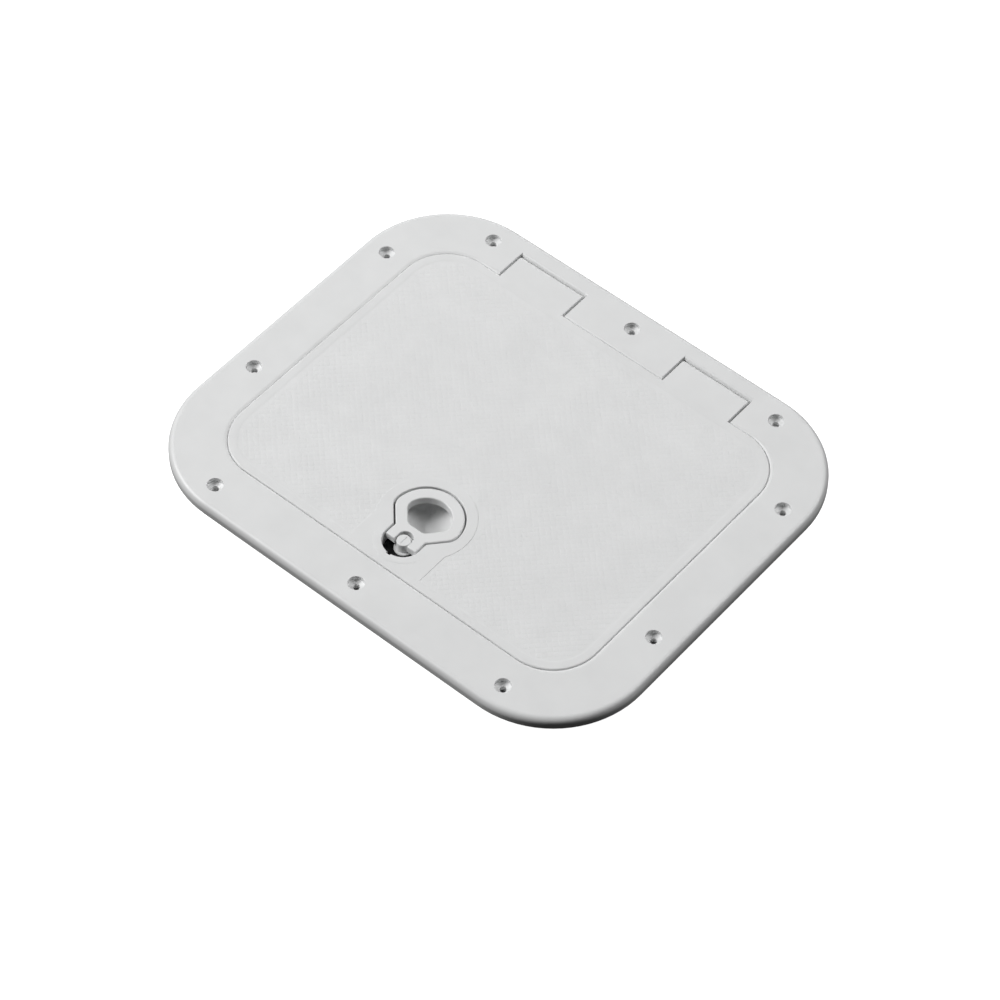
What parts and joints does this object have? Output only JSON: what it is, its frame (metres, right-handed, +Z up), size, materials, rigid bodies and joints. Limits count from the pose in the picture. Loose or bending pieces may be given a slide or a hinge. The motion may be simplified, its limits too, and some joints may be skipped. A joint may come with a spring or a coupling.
{
  "type": "deck hatch",
  "caption": "Flush rectangular boat deck hatch: flanged frame with collar, hinged lid, folding ring handle and quarter-turn cam lock.",
  "frame": {"origin": "under the middle of the hatch, in the plane of the collar's lower rim", "axes": "+X along the long side, +Y from the latch towards the hinges, +Z up out of the deck"},
  "size_m": [0.375, 0.314, 0.0344],
  "materials": {
    "abs_white": "satin moulded ABS",
    "nylon_white": "satin moulded nylon",
    "nylon_black": "matt moulded nylon",
    "stainless": "brushed stainless steel",
    "rubber_black": "matt closed-cell rubber"
  },
  "bodies": {
    "frame": {"frame": "abs_white", "gasket": "rubber_black", "hinge_pin_left": "stainless", "hinge_pin_right": "stainless", "pin_keeper_left": "abs_white", "pin_keeper_right": "abs_white", "keeper_screw_left_outer": "stainless", "keeper_screw_left_inner": "stainless", "keeper_screw_right_outer": "stainless", "keeper_screw_right_inner": "stainless"},
    "lid": {"lid": "abs_white", "handle_pin_left": "stainless", "handle_pin_right": "stainless", "lock_bush": "nylon_white", "bush_seal": "rubber_black", "lock_nut": "nylon_black"},
    "handle": {"ring_handle": "nylon_white"},
    "lock": {"lock_barrel": "nylon_white", "barrel_o_ring": "rubber_black", "wave_washer": "stainless", "cam": "stainless", "cam_washer": "stainless", "cam_screw": "stainless"}
  },
  "joints": [
    {"name": "lid_hinge", "type": "hinge", "parent": "frame", "child": "lid", "pos_m": [0, 0.138, 0.0304], "axis": [-1, 0, 0], "range_deg": [0, 98]},
    {"name": "handle_lift", "type": "hinge", "parent": "lid", "child": "handle", "pos_m": [0, -0.0935, 0.03], "axis": [1, 0, 0], "range_deg": [0, 90]},
    {"name": "lock_turn", "type": "hinge", "parent": "lid", "child": "lock", "pos_m": [0, -0.0935, 0.02], "axis": [0, 0, -1], "range_deg": [0, 90]}
  ]
}
